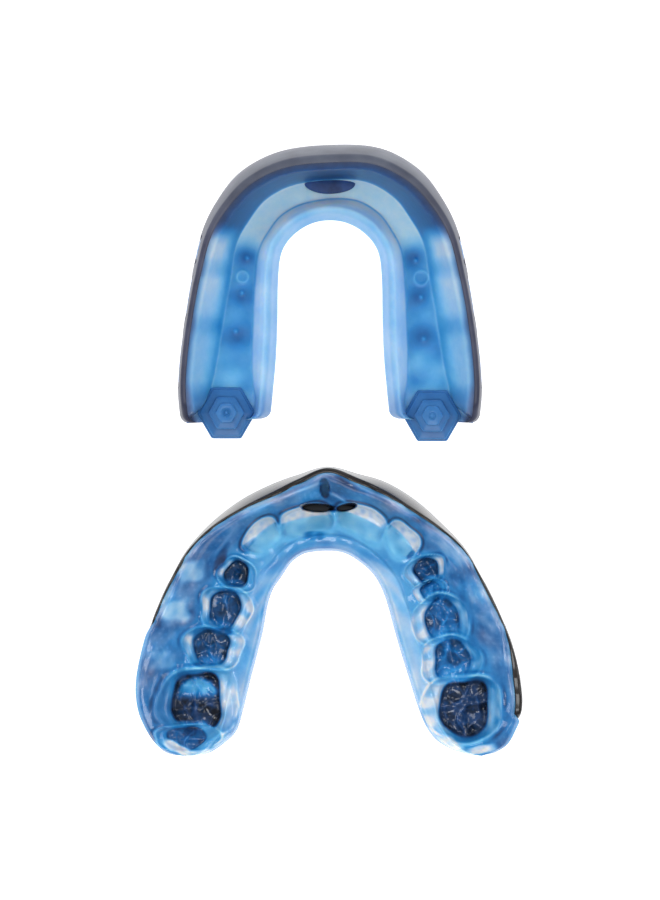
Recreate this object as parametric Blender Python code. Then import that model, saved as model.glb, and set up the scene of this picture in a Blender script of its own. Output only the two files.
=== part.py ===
"""A set of two boil-and-bite mouthguards, lying channel side up: one as moulded, one fitted to teeth.

Each guard is a U of soft mouldings. A dark outer frame with side windows wraps a blue gel liner,
two bite pads under the molars are keyed up through the frame's base, and a small dark insert lies
in the liner at the front, over the breathing gap. The moulded guard still has its two hexagonal
end bosses, which are trimmed off the fitted one.

Frame: metres, +Z up, +Y from the fitted guard to the moulded one. The origin is under the middle of
the pair, on the surface they rest on. Sizes in the source are in millimetres.
"""
import math

import bmesh
import bpy
import numpy as np

MM = 0.001

# Heights that both guards share, from the pads' undersides up.
PAD_TOP = 1.7
BASE_LOW, BASE_TOP = 2.0, 3.0
LINER_LOW, FLOOR_TOP = 3.3, 4.8
STUD_TOP = 2.95
GAP = 0.3
ABOVE_ALL = 20.0

# Arch stations from the midline to the end of one arm. Each row holds the outer point, the inner
# point, the rim's height, the rim's lean inwards, the frame wall's thickness, the floor's outer
# and inner edges measured from the outer point, and the height of the tongue-side wall.
STOCK_ARM = (
    (0.0, 56.6, 0.0, 42.4, 18.5, 2.4, 1.4, 6.5, 9.9, 9.0),
    (9.3, 55.7, 2.8, 42.0, 18.3, 2.4, 1.4, 6.8, 10.6, 9.0),
    (16.5, 51.9, 5.6, 40.6, 17.4, 2.2, 1.3, 7.0, 11.0, 9.0),
    (21.0, 46.3, 7.9, 38.3, 16.0, 1.6, 1.2, 7.0, 11.0, 9.0),
    (23.9, 40.1, 9.1, 35.4, 14.8, 1.1, 1.1, 6.8, 11.0, 9.0),
    (25.7, 31.9, 9.5, 30.2, 13.6, 0.8, 1.0, 7.2, 11.7, 9.0),
    (27.0, 23.9, 9.6, 23.2, 12.7, 0.6, 1.0, 7.2, 12.6, 9.0),
    (27.9, 16.8, 9.9, 16.6, 12.0, 0.6, 1.0, 7.0, 13.3, 9.0),
    (28.2, 10.9, 10.4, 10.9, 11.4, 0.6, 1.0, 6.0, 14.0, 8.8),
    (27.7, 4.9, 10.9, 5.9, 10.2, 0.6, 1.0, 3.6, 15.2, 8.2),
)
STOCK_SKEW, STOCK_SKEW_REACH = 0.05, 14.0
FITTED_MIDDLE = (-0.4, -3.0, -1.2, -18.7, 16.5, 0.3, 0.6, 7.6, 13.0, 8.2)
FITTED_RIGHT = (
    (5.5, -4.4, 1.4, -18.8, 16.3, 0.9, 0.6, 7.6, 13.0, 8.2),
    (10.5, -5.9, 3.4, -19.4, 16.0, 1.6, 0.6, 7.4, 13.0, 8.2),
    (15.9, -9.2, 5.6, -20.8, 15.4, 1.7, 0.6, 7.2, 12.9, 8.2),
    (20.9, -13.7, 7.9, -22.9, 14.6, 0.8, 0.6, 7.0, 12.8, 8.2),
    (25.0, -18.1, 9.5, -25.5, 13.6, 0.3, 0.6, 7.4, 13.4, 8.2),
    (28.3, -23.7, 10.7, -28.8, 12.6, 0.2, 0.6, 8.0, 14.6, 8.2),
    (31.6, -30.3, 12.0, -33.6, 11.8, 0.2, 0.6, 8.4, 15.9, 8.2),
    (34.1, -36.8, 13.4, -38.4, 11.2, 0.2, 0.6, 8.4, 16.6, 8.2),
    (35.4, -43.0, 14.9, -43.2, 10.8, 0.2, 0.6, 7.8, 16.6, 8.0),
    (35.6, -48.1, 16.3, -47.6, 10.4, 0.2, 0.6, 7.0, 15.8, 7.8),
    (33.2, -52.4, 18.2, -51.8, 9.8, 0.3, 0.6, 5.6, 12.2, 7.4),
    (29.6, -56.0, 22.0, -56.4, 8.8, 0.4, 0.6, 3.6, 6.0, 7.0),
)
FITTED_LEFT = (
    (-6.0, -4.5, -3.4, -18.9, 16.3, 0.9, 0.6, 7.6, 13.0, 8.2),
    (-11.0, -6.3, -5.2, -19.4, 16.0, 1.6, 0.6, 7.4, 13.0, 8.2),
    (-16.6, -9.2, -7.2, -20.9, 15.4, 1.5, 0.6, 7.2, 12.9, 8.2),
    (-22.0, -13.4, -9.0, -23.5, 14.6, 0.7, 0.6, 7.0, 12.8, 8.2),
    (-26.3, -18.1, -10.6, -25.9, 13.6, 0.3, 0.6, 7.4, 13.4, 8.2),
    (-29.4, -23.4, -11.6, -29.0, 12.6, 0.2, 0.6, 8.0, 14.6, 8.2),
    (-32.4, -29.9, -12.4, -33.5, 11.8, 0.2, 0.6, 8.4, 15.9, 8.2),
    (-34.6, -36.5, -13.6, -38.3, 11.2, 0.2, 0.6, 8.4, 16.6, 8.2),
    (-35.8, -43.0, -14.9, -43.3, 10.8, 0.2, 0.6, 7.8, 16.6, 8.0),
    (-35.4, -48.1, -16.0, -47.8, 10.4, 0.2, 0.6, 7.0, 15.8, 7.8),
    (-33.4, -52.6, -17.5, -52.2, 9.8, 0.3, 0.6, 5.6, 12.2, 7.4),
    (-30.0, -56.2, -22.0, -56.5, 8.8, 0.4, 0.6, 3.6, 6.0, 7.0),
)

# Tooth impressions in the fitted liner: centre, half length along the arch, half width across,
# and depth below the gel round them.
TEETH = (
    (-4.6, -13.6, 4.4, 2.9, 2.6),
    (5.9, -12.9, 4.5, 2.3, 2.6),
    (-12.2, -15.4, 3.2, 2.5, 2.4),
    (13.0, -16.4, 3.2, 2.6, 2.4),
    (-17.4, -22.9, 2.4, 2.3, 2.8),
    (17.9, -23.2, 2.6, 2.3, 2.8),
    (-19.7, -29.6, 3.4, 3.2, 3.0),
    (20.8, -31.8, 3.6, 3.3, 3.0),
    (-22.2, -36.5, 3.2, 3.6, 3.0),
    (22.7, -38.8, 3.4, 3.6, 3.0),
    (-24.5, -46.0, 5.4, 4.8, 3.0),
    (25.2, -47.9, 4.9, 4.9, 3.0),
    (-26.4, -53.0, 2.4, 3.6, 2.0),
)
GEL_ROUND_TEETH = 2.4

# Pieces along the arms.
STOCK_WINDOWS = ((37.0, 5.4), (28.4, 8.8), (16.6, 10.6))
FITTED_WINDOWS = ((-22.5, 5.0), (-30.0, 6.0), (-39.0, 6.2))
WINDOW_LOW, WINDOW_MARGIN = 5.2, 3.0
STOCK_STUDS = ((15.6, 35.6), (16.6, 28.2), (17.4, 21.0))
FITTED_STUDS = ((18.6, -29.8), (21.6, -37.6), (25.0, -46.4))
STUD_R = 2.3
END_BOSSES = {"left": (-19.4, 6.85), "right": (19.1, 6.1)}
BOSS_TIERS = ((4.6, 2.0, 6.0), (3.7, 6.0, 6.8), (2.55, 6.8, 7.5))
BOSS_GATE_R, BOSS_GATE_DEEP = 0.9, 0.8
STOCK_INSERT = (0.0, 48.7, 4.7, 1.5)
FITTED_INSERT = (-0.3, -10.9, 4.9, 0.85)
PAD_INSET, PAD_EDGE = 2.8, 0.9
PAD_SPAN = 0.4, 0.9
FITTED_PAD_SPAN = 0.5, 0.87

# Facets: cross-sections along a guard and a pad, points across the bitten floor, sides of a stud
# and of an insert, and the angle past which an edge stays sharp.
ARCH_RINGS, BITTEN_RINGS, PAD_RINGS = 49, 67, 14
BITTEN_POINTS = 9
STUD_SIDES, INSERT_SIDES = 16, 20
SHARP_DEG = 40


def clear_scene():
    """Remove every object from the scene."""
    for thing in list(bpy.data.objects):
        bpy.data.objects.remove(thing, do_unlink=True)


def plastic(name, colour, roughness, transmission=0.0):
    """A moulded plastic or rubber."""
    material = bpy.data.materials.new(name)
    material.use_nodes = True
    shader = material.node_tree.nodes["Principled BSDF"]
    shader.inputs["Base Color"].default_value = (*colour, 1.0)
    shader.inputs["Roughness"].default_value = roughness
    shader.inputs["Metallic"].default_value = 0.0
    shader.inputs["Transmission Weight"].default_value = transmission
    return material


def along(rows, u):
    """Smooth curve through the rows: the point at row number u, by a Catmull-Rom spline."""
    rows = np.asarray(rows, float)
    ends = np.vstack([2 * rows[0] - rows[1], rows, 2 * rows[-1] - rows[-2]])
    i = np.clip(np.floor(u).astype(int), 0, len(rows) - 2)
    t = (u - i)[:, None]
    a, b, c, d = (ends[i + k] for k in range(4))
    return 0.5 * (2 * b + (c - a) * t + (2 * a - 5 * b + 4 * c - d) * t**2 + (3 * b - a - 3 * c + d) * t**3)


def mirrored(arm):
    """A whole arch from one arm's rows, left end to right end, its front a little out of true."""
    right = np.array(arm)
    left = right[:0:-1] * np.array([-1, 1, -1, 1, 1, 1, 1, 1, 1, 1])
    rows = np.vstack([left, right])
    x = rows[:, 0]
    rows[:, 1] += STOCK_SKEW * x * np.exp(-((x / STOCK_SKEW_REACH) ** 2))
    return rows


def stations(rows, count, low=0.0, high=1.0):
    """Rows at equal steps along the arch, between two fractions of its length."""
    u = np.linspace(low, high, count) * (len(rows) - 1)
    return along(rows, u)


def ring_points(row, section):
    """A cross-section's points, (distance in from the outer point, height), as points in space."""
    outer, inner = row[0:2], row[2:4]
    across = (inner - outer) / np.linalg.norm(inner - outer)
    section = np.asarray(section)
    flat = outer + section[:, :1] * across
    return np.hstack([flat, section[:, 1:]])


def width(row):
    return float(np.linalg.norm(row[2:4] - row[0:2]))


def solid(name, rings, material):
    """A closed tube through the rings, with both ends capped."""
    rings = np.array(rings) * MM
    count, sides = rings.shape[:2]
    bm = bmesh.new()
    verts = [[bm.verts.new(p) for p in ring] for ring in rings]
    for a, b in zip(verts, verts[1:]):
        for j in range(sides):
            k = (j + 1) % sides
            bm.faces.new((a[j], a[k], b[k], b[j]))
    bm.faces.new(verts[0][::-1])
    bm.faces.new(verts[-1])
    return finish(name, bm, material)


def finish(name, bm, material=None):
    """Make an object of a bmesh, with its faces turned outwards and its round sides smooth."""
    bmesh.ops.recalc_face_normals(bm, faces=bm.faces)
    mesh = bpy.data.meshes.new(name)
    bm.to_mesh(mesh)
    bm.free()
    mesh.shade_smooth()
    mesh.set_sharp_from_angle(angle=math.radians(SHARP_DEG))
    if material is not None:
        mesh.materials.append(material)
    thing = bpy.data.objects.new(name, mesh)
    bpy.context.scene.collection.objects.link(thing)
    return thing


def prism(name, outline, low, high, material=None):
    """An upright prism on a flat outline."""
    rings = [[(x, y, z) for x, y in outline] for z in (low, high)]
    return solid(name, rings, material)


def cut(target, cutter):
    """Cut one solid out of another."""
    cutter.hide_render = True
    cutter.display_type = "WIRE"
    tool = target.modifiers.new(cutter.name, "BOOLEAN")
    tool.operation = "DIFFERENCE"
    tool.solver = "EXACT"
    tool.object = cutter


def polygon(x, y, radius, sides, turn=0.0, stretch=1.0):
    """A regular polygon, or an ellipse where stretched along X."""
    angles = turn + 2 * math.pi * np.arange(sides) / sides
    return np.stack([x + radius * stretch * np.cos(angles), y + radius * np.sin(angles)], axis=1)


def frame_section(row):
    """The frame's L: a barrelled outer wall up to the rim, and a base under the channel."""
    w, rim, lean, wall = width(row), row[4], row[5], row[6]
    side = [(1.7, BASE_LOW), (0.5, 2.9), (0.0, 5.4)]
    side += [(0.15 * lean, 0.64 * rim), (0.6 * lean, 0.87 * rim)]
    lip = [(lean, rim - 0.4), (lean + 0.5 * wall, rim), (lean + wall, rim - 0.4)]
    back = [(0.6 * lean + wall, 0.87 * rim), (0.15 * lean + wall, 0.64 * rim), (wall, 5.4)]
    base = [(wall + 0.6, 3.5), (wall + 1.5, BASE_TOP)]
    base += [(w - 1.5, BASE_TOP), (w - 1.2, 2.5), (w - 1.5, BASE_LOW)]
    return side + lip + back + base


def liner_section(row):
    """The liner's U: the lip side wall against the frame, the floor, and the tongue side wall."""
    w, rim, lean, wall, floor_out, floor_in, crest = width(row), *row[4:10]
    clear = wall + GAP
    back = [(clear + 1.6, LINER_LOW), (clear + 0.65, 3.9), (clear, 5.5)]
    back += [(0.15 * lean + clear, 0.64 * rim), (0.6 * lean + clear, 0.87 * rim), (lean + clear, rim - 0.8)]
    top_in = min(lean + clear + 1.4, floor_out - 0.4)
    middle = 0.45 * top_in + 0.55 * floor_out
    face = [(lean + clear + 0.6, rim - 0.5), (top_in, rim - 1.2), (middle, 0.5 * (rim + FLOOR_TOP) - 0.8)]
    floor = [(floor_out, FLOOR_TOP), (floor_in, FLOOR_TOP)]
    tongue = [(w - 3.0, crest - 0.5), (w - 2.2, crest), (w - 1.3, crest - 0.6)]
    tongue += [(w - 0.1, 5.2), (w, 4.2), (w - 0.6, LINER_LOW)]
    return back + face + floor + tongue


def tooth_depth(x, y):
    """How far the teeth have pressed into the gel at a point: a flat-bottomed dip for each tooth."""
    depth = np.zeros_like(x)
    for cx, cy, half_long, half_wide, deep in TEETH:
        ahead = math.atan2(cy + 40.0, cx)
        along_arch = -(x - cx) * math.sin(ahead) + (y - cy) * math.cos(ahead)
        across = (x - cx) * math.cos(ahead) + (y - cy) * math.sin(ahead)
        r = np.sqrt((along_arch / half_long) ** 2 + (across / half_wide) ** 2)
        dip = deep / (1.0 + np.exp(9.0 * (r - 0.95)))
        depth = np.maximum(depth, dip)
    return depth


def fitted_liner_rings(rows):
    """The fitted liner: gel squeezed up round the teeth, with the bite pressed into its floor."""
    rings = []
    for row in rows:
        section = liner_section(row)
        before, after = section[:9], section[11:]
        floor_out, floor_in = section[9][0], section[10][0]
        across = np.linspace(floor_out - 1.2, floor_in + 0.6, BITTEN_POINTS)
        floor = ring_points(row, [(d, FLOOR_TOP + GEL_ROUND_TEETH) for d in across])
        floor[:, 2] -= tooth_depth(floor[:, 0], floor[:, 1])
        slope_in = ring_points(row, before)
        slope_out = ring_points(row, after)
        rings.append(np.vstack([slope_in, floor, slope_out]))
    return rings


def window_cutters(prefix, rows, places):
    """Blocks that cut the windows in the frame's side walls, square to the wall."""
    blocks = []
    dense = stations(rows, 241)
    for side in (-1, 1):
        arm = dense[dense[:, 0] * side > 15.0]
        for number, (y, length) in enumerate(places):
            row = arm[np.argmin(abs(arm[:, 1] - y))]
            beside = arm[np.argsort(abs(arm[:, 1] - y))[1]]
            run = (beside[0:2] - row[0:2]) / np.linalg.norm(beside[0:2] - row[0:2])
            inwards = np.array([-run[1], run[0]])
            inwards = inwards * np.sign(inwards[0] * -side)
            corners = [(-1, -2.0), (1, -2.0), (1, row[6] + 1.2), (-1, row[6] + 1.2)]
            outline = [row[0:2] + 0.5 * length * a * run + b * inwards for a, b in corners]
            name = f"{prefix}_window_{'left' if side < 0 else 'right'}_{number}"
            blocks.append(prism(name, outline, WINDOW_LOW, row[4] - WINDOW_MARGIN))
    return blocks


def bite_pad(name, rows, span, side, studs, material):
    """A flat rubber pad under one arm, with studs that key up through the frame's base."""
    low, high = span
    part = (0.5 + 0.5 * low, 0.5 + 0.5 * high) if side > 0 else (0.5 - 0.5 * high, 0.5 - 0.5 * low)
    rings = []
    for row in stations(rows, PAD_RINGS, *part):
        near, far = PAD_INSET, width(row) - PAD_INSET
        section = [(near + 0.4, PAD_TOP), (near, PAD_EDGE), (near + 0.8, 0.0)]
        section += [(far - 0.8, 0.0), (far, PAD_EDGE), (far - 0.4, PAD_TOP)]
        rings.append(ring_points(row, section))
    pad = solid(name, rings, material)
    for number, (x, y) in enumerate(studs):
        round_post = polygon(side * x, y, STUD_R, STUD_SIDES)
        post = prism(f"{name}_stud_{number}", round_post, PAD_EDGE, STUD_TOP)
        post.hide_render = True
        post.display_type = "WIRE"
        join = pad.modifiers.new(post.name, "BOOLEAN")
        join.operation = "UNION"
        join.solver = "EXACT"
        join.object = post
    return pad


def stud_holes(prefix, frame, studs):
    """Holes in the frame's base for the pads' studs."""
    for side in (-1, 1):
        for number, (x, y) in enumerate(studs):
            name = f"{prefix}_stud_hole_{side}_{number}"
            round_hole = polygon(side * x, y, STUD_R + GAP, STUD_SIDES)
            cut(frame, prism(name, round_hole, BASE_LOW - 1.0, BASE_TOP + 0.2))


def end_boss(name, x, y, material):
    """A stepped hexagonal boss with a shallow conical gate mark in its top."""
    rings = []
    for radius, low, high in BOSS_TIERS:
        outline = polygon(x, y, radius, 6)
        rings.append([(a, b, low) for a, b in outline])
        rings.append([(a, b, high) for a, b in outline])
    top = BOSS_TIERS[-1][2]
    rings.append([(a, b, top) for a, b in polygon(x, y, BOSS_GATE_R, 6)])
    rings.append([(a, b, top - BOSS_GATE_DEEP) for a, b in polygon(x, y, 0.25 * BOSS_GATE_R, 6)])
    return solid(name, rings, material)


def front_insert(name, place, material):
    """The lens-shaped insert that lies in the liner's floor at the front."""
    x, y, half_long, half_wide = place
    outline = polygon(x, y, half_wide, INSERT_SIDES, stretch=half_long / half_wide)
    return prism(name, outline, LINER_LOW, FLOOR_TOP + 0.2, material)


def insert_slot(name, place):
    """The slot that the insert lies in."""
    x, y, half_long, half_wide = place
    stretch = (half_long + GAP) / (half_wide + GAP)
    outline = polygon(x, y, half_wide + GAP, INSERT_SIDES, stretch=stretch)
    return prism(name, outline, LINER_LOW - 0.6, ABOVE_ALL)


def build_guard(prefix, rows, windows, studs, pad_span, insert, gel, shell, rubber, dark):
    """One guard: frame, liner, bite pads and front insert."""
    evenly = stations(rows, ARCH_RINGS)
    frame = solid(f"{prefix}_outer_frame", [ring_points(r, frame_section(r)) for r in evenly], shell)
    for block in window_cutters(prefix, rows, windows):
        cut(frame, block)
    stud_holes(prefix, frame, studs)
    if prefix == "fitted":
        rings = fitted_liner_rings(stations(rows, BITTEN_RINGS))
    else:
        rings = [ring_points(r, liner_section(r)) for r in evenly]
    liner = solid(f"{prefix}_gel_liner", rings, gel)
    cut(liner, insert_slot(f"{prefix}_insert_slot", insert))
    front_insert(f"{prefix}_front_insert", insert, dark)
    for word, side in (("left", -1), ("right", 1)):
        bite_pad(f"{prefix}_bite_pad_{word}", rows, pad_span, side, studs, rubber)
    return frame, liner


def build():
    clear_scene()
    satin_gel = plastic("satin blue gel", (0.06, 0.25, 0.55), 0.45, 0.3)
    gloss_gel = plastic("glossy blue gel", (0.04, 0.20, 0.50), 0.12, 0.3)
    smoke = plastic("smoked frame elastomer", (0.14, 0.15, 0.20), 0.5, 0.2)
    black = plastic("black frame elastomer", (0.012, 0.011, 0.012), 0.25)
    rubber = plastic("dark pad rubber", (0.02, 0.03, 0.05), 0.55)

    stock_rows = mirrored(STOCK_ARM)
    fitted_rows = np.array(FITTED_LEFT[::-1] + (FITTED_MIDDLE,) + FITTED_RIGHT)
    frame, liner = build_guard(
        "stock", stock_rows, STOCK_WINDOWS, STOCK_STUDS, PAD_SPAN, STOCK_INSERT,
        satin_gel, smoke, rubber, rubber,
    )
    for word, (x, y) in END_BOSSES.items():
        end_boss(f"stock_end_boss_{word}", x, y, smoke)
        seat = polygon(x, y, BOSS_TIERS[0][0] + GAP, 6)
        for target in (frame, liner):
            cut(target, prism(f"{target.name}_boss_seat_{word}", seat, BASE_LOW - 0.6, ABOVE_ALL))
    build_guard(
        "fitted", fitted_rows, FITTED_WINDOWS, FITTED_STUDS, FITTED_PAD_SPAN, FITTED_INSERT,
        gloss_gel, black, rubber, black,
    )


build()
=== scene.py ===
import math

import bpy
import numpy as np
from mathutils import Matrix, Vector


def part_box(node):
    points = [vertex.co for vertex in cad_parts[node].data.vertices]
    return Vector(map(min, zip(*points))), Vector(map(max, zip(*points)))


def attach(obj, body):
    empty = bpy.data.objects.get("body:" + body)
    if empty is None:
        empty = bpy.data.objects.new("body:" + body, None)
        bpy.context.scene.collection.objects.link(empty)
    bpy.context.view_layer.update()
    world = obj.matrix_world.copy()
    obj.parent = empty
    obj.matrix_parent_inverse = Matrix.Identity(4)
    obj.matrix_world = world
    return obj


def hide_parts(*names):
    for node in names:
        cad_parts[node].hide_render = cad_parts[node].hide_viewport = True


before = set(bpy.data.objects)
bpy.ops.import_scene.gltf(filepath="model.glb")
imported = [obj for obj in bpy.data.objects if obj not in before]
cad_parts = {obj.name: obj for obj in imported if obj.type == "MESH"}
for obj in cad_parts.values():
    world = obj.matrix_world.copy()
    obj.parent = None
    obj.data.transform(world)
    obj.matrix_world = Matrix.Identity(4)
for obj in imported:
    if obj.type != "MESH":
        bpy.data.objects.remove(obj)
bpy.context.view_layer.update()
MM = 0.001


# --- Outer frame of the guard as moulded ---------------------------------------------------------
# A shell of smoke-tinted elastomer round the lip and cheek side, with three windows in each side and
# a thin base under the channel. It is injection moulded in a spark-eroded tool, so it comes out satin.

def linear(code):
    """An sRGB hex colour as linear RGBA: each channel by the sRGB curve."""
    channels = [int(code[i:i + 2], 16) / 255 for i in (0, 2, 4)]
    return [c / 12.92 if c <= 0.04045 else ((c + 0.055) / 1.055) ** 2.4 for c in channels] + [1.0]


def add(tree, kind, settings=(), links=(), **attributes):
    """Add a node of a kind, set its attributes and inputs, and link sockets into its inputs."""
    node = tree.nodes.new(kind)
    for name, value in attributes.items():
        setattr(node, name, value)
    for name, value in dict(settings).items():
        node.inputs[name].default_value = value
    for name, socket in dict(links).items():
        tree.links.new(socket, node.inputs[name])
    return node


def ramp(tree, factor, stops):
    """A colour ramp through (position, hex colour) stops, and its colour socket."""
    node = add(tree, "ShaderNodeValToRGB", links={"Fac": factor})
    band = node.color_ramp
    band.elements[0].position, band.elements[-1].position = stops[0][0], stops[-1][0]
    for place, _ in stops[1:-1]:
        band.elements.new(place)
    for element, (_, code) in zip(band.elements, stops):
        element.color = linear(code)
    return node.outputs["Color"]


def grain_bump(tree, size_mm, height_mm, roughness=0.6, detail=3.0):
    """The normal of a fine grain: noise of a real size and height on object coordinates."""
    place = add(tree, "ShaderNodeTexCoord").outputs["Object"]
    noise = add(tree, "ShaderNodeTexNoise", {"Scale": 1.0 / (size_mm * MM), "Detail": detail,
                                             "Roughness": roughness}, {"Vector": place})
    return add(tree, "ShaderNodeBump", {"Strength": 1.0, "Distance": height_mm * MM},
               {"Height": noise.outputs["Fac"]}).outputs["Normal"]


# Arch stations from the midline to the end of one arm, in millimetres: outer point, inner point, the
# rim's height, its lean inwards, the frame wall's thickness, the floor's outer and inner edges from
# the outer point, and the tongue-side wall's height.
STOCK_ARM = (
    (0.0, 56.6, 0.0, 42.4, 18.5, 2.4, 1.4, 6.5, 9.9, 9.0),
    (9.3, 55.7, 2.8, 42.0, 18.3, 2.4, 1.4, 6.8, 10.6, 9.0),
    (16.5, 51.9, 5.6, 40.6, 17.4, 2.2, 1.3, 7.0, 11.0, 9.0),
    (21.0, 46.3, 7.9, 38.3, 16.0, 1.6, 1.2, 7.0, 11.0, 9.0),
    (23.9, 40.1, 9.1, 35.4, 14.8, 1.1, 1.1, 6.8, 11.0, 9.0),
    (25.7, 31.9, 9.5, 30.2, 13.6, 0.8, 1.0, 7.2, 11.7, 9.0),
    (27.0, 23.9, 9.6, 23.2, 12.7, 0.6, 1.0, 7.2, 12.6, 9.0),
    (27.9, 16.8, 9.9, 16.6, 12.0, 0.6, 1.0, 7.0, 13.3, 9.0),
    (28.2, 10.9, 10.4, 10.9, 11.4, 0.6, 1.0, 6.0, 14.0, 8.8),
    (27.7, 4.9, 10.9, 5.9, 10.2, 0.6, 1.0, 3.6, 15.2, 8.2),
)
# The places of four of these measures in a station's row.
RIM, WALL, FLOOR_OUT, FLOOR_IN = 4, 6, 7, 8
STOCK_SKEW, STOCK_SKEW_REACH = 0.05, 14.0
STOCK_RINGS, SPLINE_STEPS = 421, 40
END_ROUND = 1.6
TAIL_DROP, TAIL_OUT, TAIL_IN = 2.2, 2.6, 1.2
BASE_LOW, BASE_TOP = 2.0, 3.0
STOCK_WINDOWS = ((37.0, 5.4), (28.4, 8.8), (16.6, 10.6))
WINDOW_LOW, WINDOW_MARGIN, WINDOW_ROUND = 5.2, 3.0, 1.1
SHARP_DEGREES = 40


def along(rows, u):
    """Smooth curve through the rows, by a Catmull-Rom spline: the point at each row number in u."""
    rows = np.asarray(rows, float)
    ends = np.vstack([2 * rows[0] - rows[1], rows, 2 * rows[-1] - rows[-2]])
    i = np.clip(np.floor(u).astype(int), 0, len(rows) - 2)
    t = (u - i)[:, None]
    a, b, c, d = (ends[i + k] for k in range(4))
    return 0.5 * (2 * b + (c - a) * t + (2 * a - 5 * b + 4 * c - d) * t**2 + (3 * b - a - 3 * c + d) * t**3)


def middle_line(stations):
    """The line half way between the outer and the inner points."""
    return 0.5 * (stations[:, 0:2] + stations[:, 2:4])


def length_along(path):
    """How far along a path each of its points is: the sum of the steps up to it."""
    return np.concatenate([[0.0], np.cumsum(np.linalg.norm(np.diff(path, axis=0), axis=1))])


def inwards(stations):
    """The direction of length 1 from each outer point to its inner point."""
    span = stations[:, 2:4] - stations[:, 0:2]
    return span / np.linalg.norm(span, axis=1, keepdims=True)


def even_stations(rows, count):
    """Stations at equal steps of the middle line's length: the spline is read finely, its length is
    summed, and the row numbers at equal lengths are read back."""
    fine = np.linspace(0, len(rows) - 1, SPLINE_STEPS * len(rows))
    length = length_along(middle_line(along(rows, fine)))
    return along(rows, np.interp(np.linspace(0, length[-1], count), length, fine))


def smooth(low, high, x):
    """A smooth step from 0 at low to 1 at high: 3t squared less 2t cubed."""
    t = np.clip((x - low) / (high - low), 0, 1)
    return t * t * (3 - 2 * t)


def hump(away, reach):
    """A bell over a distance: e to the minus square of it, in units of its reach."""
    return np.exp(-((away / reach) ** 2))


def whole_arch(arm, skew, reach):
    """An arch's rows, left end to right end, from one arm's, with its front a little out of true."""
    right = np.array(arm)
    left = right[:0:-1] * np.array([-1, 1, -1, 1, 1, 1, 1, 1, 1, 1])
    rows = np.vstack([left, right])
    rows[:, 1] += skew * rows[:, 0] * hump(rows[:, 0], reach)
    return rows


def rounded_ends(stations, radius):
    """Bring the outer and inner points together over the last stretch of each arm, on a quarter
    circle, so that the arm's end has round corners seen from above."""
    length = length_along(middle_line(stations))
    left = np.clip(radius - np.minimum(length, length[-1] - length), 0, radius)
    inset = (radius - np.sqrt(radius**2 - left**2))[:, None] * inwards(stations)
    out = stations.copy()
    out[:, 0:2] += inset
    out[:, 2:4] -= inset
    return out


def stacked(corners):
    """Corners given as (across, height), each a number or one a station, as one array."""
    values = np.broadcast_arrays(*[value for corner in corners for value in corner])
    return np.array(values).reshape(len(corners), 2, -1).transpose(2, 0, 1)


def rounded_ring(corners, radii, fills, steps=5):
    """A closed ring of (across, height) for each station: every corner is a quadratic curve between
    points a radius before and after it, and each straight stretch gets its own number of points."""
    before = np.roll(corners, 1, axis=1) - corners
    after = np.roll(corners, -1, axis=1) - corners
    length_before = np.linalg.norm(before, axis=2, keepdims=True)
    length_after = np.linalg.norm(after, axis=2, keepdims=True)
    reach = np.asarray(radii, float)[None, :, None]
    start = corners + before / length_before * np.minimum(reach, 0.48 * length_before)
    stop = corners + after / length_after * np.minimum(reach, 0.48 * length_after)
    t = np.linspace(0, 1, steps)[None, :, None]
    parts = []
    for j, fill in enumerate(fills):
        a, c, b = start[:, j:j + 1], corners[:, j:j + 1], stop[:, j:j + 1]
        parts.append((1 - t) ** 2 * a + 2 * t * (1 - t) * c + t**2 * b)
        if fill:
            f = (np.arange(1, fill + 1) / (fill + 1))[None, :, None]
            parts.append(b + f * (np.roll(start, -1, axis=1)[:, j:j + 1] - b))
    return np.concatenate(parts, axis=1)


def placed(stations, ring):
    """A ring's points in space: across is measured from the outer point towards the inner one."""
    flat = stations[:, None, 0:2] + ring[:, :, :1] * inwards(stations)[:, None]
    return np.concatenate([flat, ring[:, :, 1:]], axis=2)


def skinned(name, points, closed=True, **fields):
    """A mesh from a grid of points in millimetres: quads between neighbouring rings, one face over
    each end, and a point attribute for each field, kept between 0 and 1."""
    rings, sides = points.shape[:2]
    index = np.arange(rings * sides).reshape(rings, sides)
    a, b = index[:-1], index[1:]
    quads = np.stack([a, np.roll(a, -1, axis=1), np.roll(b, -1, axis=1), b], axis=2).reshape(-1, 4)
    faces = quads.tolist()
    if closed:
        faces += [index[0][::-1].tolist(), index[-1].tolist()]
    mesh = bpy.data.meshes.new(name)
    mesh.from_pydata((points.reshape(-1, 3) * MM).tolist(), [], faces)
    for field, values in fields.items():
        layer = mesh.attributes.new(field, "FLOAT", "POINT")
        layer.data.foreach_set("value", np.clip(values, 0, 1).astype(np.float32).ravel())
    thing = bpy.data.objects.new(name, mesh)
    bpy.context.scene.collection.objects.link(thing)
    outwards(mesh)
    mesh.shade_smooth()
    for cap in mesh.polygons[len(quads):]:
        cap.use_smooth = False
    return thing


def outwards(mesh):
    """Turn a closed mesh's faces outwards: flip them all if its signed volume is negative."""
    mesh.calc_loop_triangles()
    corner = np.empty(len(mesh.loop_triangles) * 3, np.int64)
    mesh.loop_triangles.foreach_get("vertices", corner)
    place = np.empty(len(mesh.vertices) * 3)
    mesh.vertices.foreach_get("co", place)
    a, b, c = place.reshape(-1, 3)[corner.reshape(-1, 3)].transpose(1, 0, 2)
    if np.einsum("ij,ij->i", a, np.cross(b, c)).sum() < 0:
        mesh.flip_normals()


def columns(stations):
    """The stations' widths and their other measures, as columns of arrays."""
    wide = np.linalg.norm(stations[:, 2:4] - stations[:, 0:2], axis=1)
    return wide, *stations[:, 4:10].T


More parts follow.
